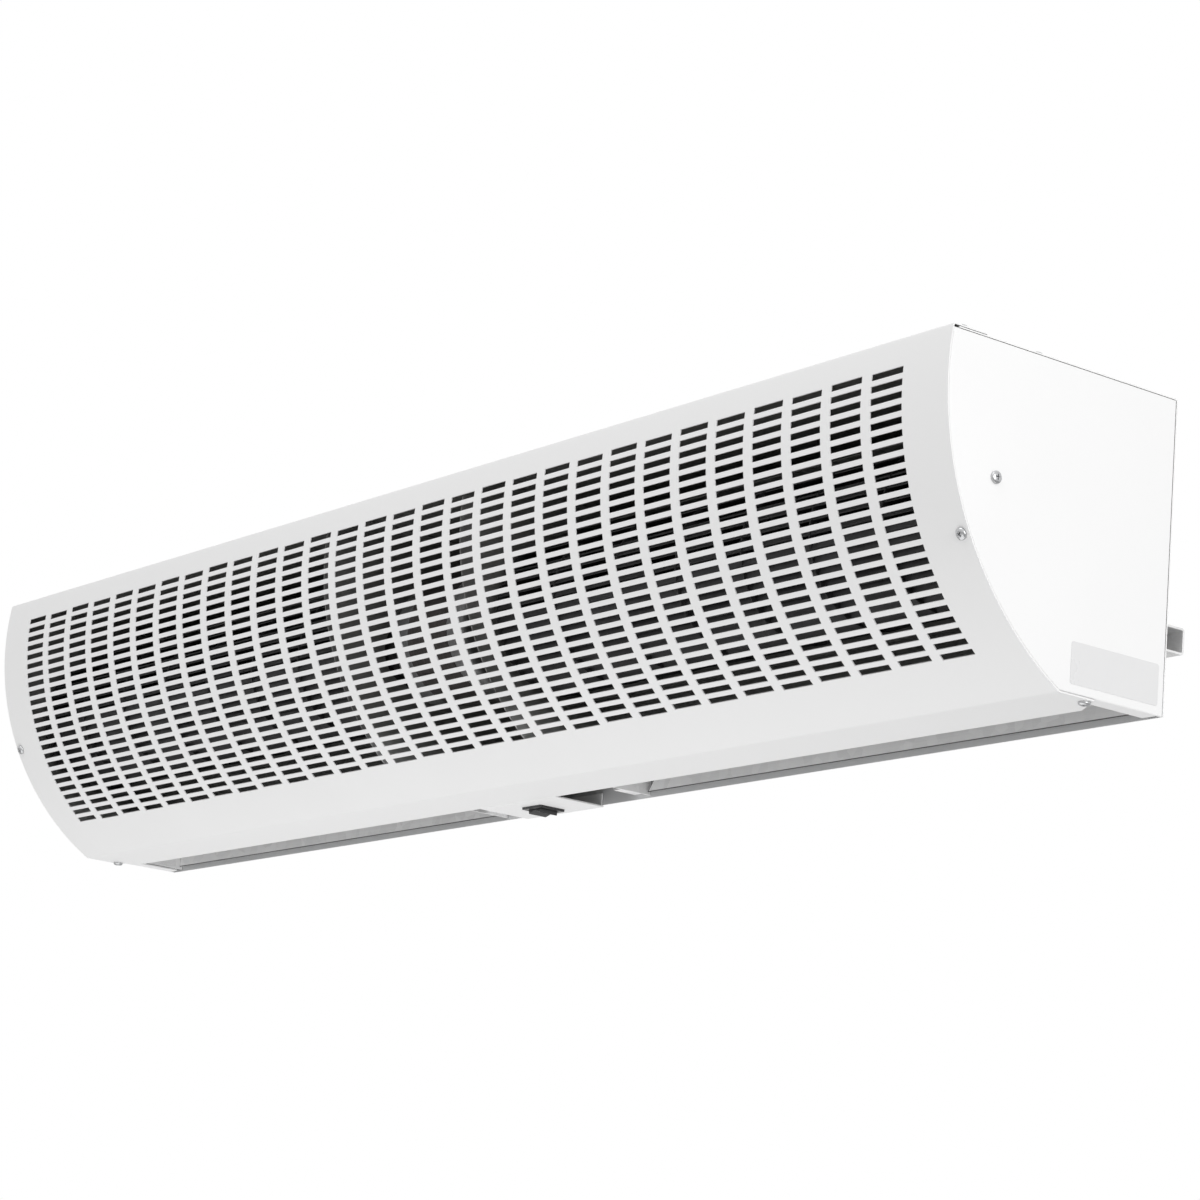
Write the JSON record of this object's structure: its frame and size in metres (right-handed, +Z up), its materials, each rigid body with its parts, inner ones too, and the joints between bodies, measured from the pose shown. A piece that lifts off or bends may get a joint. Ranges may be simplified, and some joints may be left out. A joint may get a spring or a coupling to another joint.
{
  "type": "air curtain",
  "caption": "Wall-hung air curtain: long white sheet-metal casing with a curved slotted front, fan wheels driven from a middle motor, a bottom outlet slot and a rocker switch.",
  "frame": {"origin": "middle of the flat rear face of the lower wall rail, on the wall", "axes": "+X along the unit, -Y out of the wall towards the curved front, +Z up"},
  "size_m": [1.2048, 0.2067, 0.2112],
  "materials": {
    "casing_paint": "white powder coat, satin",
    "zinc_sheet": "zinc-coated sheet, dull",
    "screw_steel": "zinc-plated screws, bright",
    "shaft_steel": "ground steel",
    "wheel_black": "black stoved paint, satin",
    "rubber_black": "matt moulded rubber",
    "motor_aluminium": "die-cast, matt",
    "stator_iron": "varnished steel plates",
    "switch_black": "black moulded, semi-gloss",
    "terminal_brass": "plain brass",
    "grey_plastic": "light grey moulded, matt",
    "label_film": "blank light grey film"
  },
  "bodies": {
    "housing": {"front_panel": "casing_paint", "rear_casing": "casing_paint", "end_plate_left": "casing_paint", "end_plate_right": "casing_paint", "switch_plate": "casing_paint", "bearing_wall_left": "zinc_sheet", "bearing_wall_right": "zinc_sheet", "partition_left": "zinc_sheet", "partition_right": "zinc_sheet", "scroll_sheet_left": "zinc_sheet", "scroll_sheet_right": "zinc_sheet", "outlet_tongue_left": "zinc_sheet", "outlet_tongue_right": "zinc_sheet", "motor_strap_left": "zinc_sheet", "motor_strap_right": "zinc_sheet", "motor_bracket": "zinc_sheet", "capacitor_clip": "zinc_sheet", "wall_rail_lower": "zinc_sheet", "wall_rail_upper": "zinc_sheet", "panel_front_screw_left": "screw_steel", "panel_front_screw_right": "screw_steel", "panel_bottom_screw_left": "screw_steel", "panel_bottom_screw_right": "screw_steel", "panel_top_screw_left": "screw_steel", "panel_top_screw_right": "screw_steel", "casing_top_screw_left": "screw_steel", "casing_top_screw_right": "screw_steel", "end_plate_screw_left": "screw_steel", "end_plate_screw_right": "screw_steel", "motor_strap_screw_left": "screw_steel", "motor_strap_screw_right": "screw_steel", "rail_post_lower_left": "screw_steel", "rail_post_lower_right": "screw_steel", "rail_post_upper_left": "screw_steel", "rail_post_upper_right": "screw_steel", "bearing_left": "shaft_steel", "bearing_right": "shaft_steel", "bearing_bush_left": "rubber_black", "bearing_bush_right": "rubber_black", "motor_ring_left": "rubber_black", "motor_ring_right": "rubber_black", "cable_grommet": "rubber_black", "motor_cap_left": "motor_aluminium", "motor_cap_right": "motor_aluminium", "stator": "stator_iron", "switch_housing": "switch_black", "switch_terminals": "terminal_brass", "capacitor": "grey_plastic", "terminal_block": "grey_plastic", "rating_label": "label_film"},
    "fan": {"motor_rotor": "shaft_steel", "impeller_hub_left": "rubber_black", "impeller_hub_right": "rubber_black", "impeller_left": "wheel_black", "impeller_right": "wheel_black", "stub_shaft_left": "shaft_steel", "stub_shaft_right": "shaft_steel"},
    "rocker": {"switch_rocker": "switch_black"}
  },
  "joints": [
    {"name": "fan_spin", "type": "hinge", "parent": "housing", "child": "fan", "pos_m": [0, -0.1178, 0.06], "axis": [1, 0, 0], "continuous": true},
    {"name": "switch_rock", "type": "hinge", "parent": "housing", "child": "rocker", "pos_m": [-0.016, -0.0378, -0.0495], "axis": [0, 1, 0], "range_deg": [-12, 12]}
  ]
}
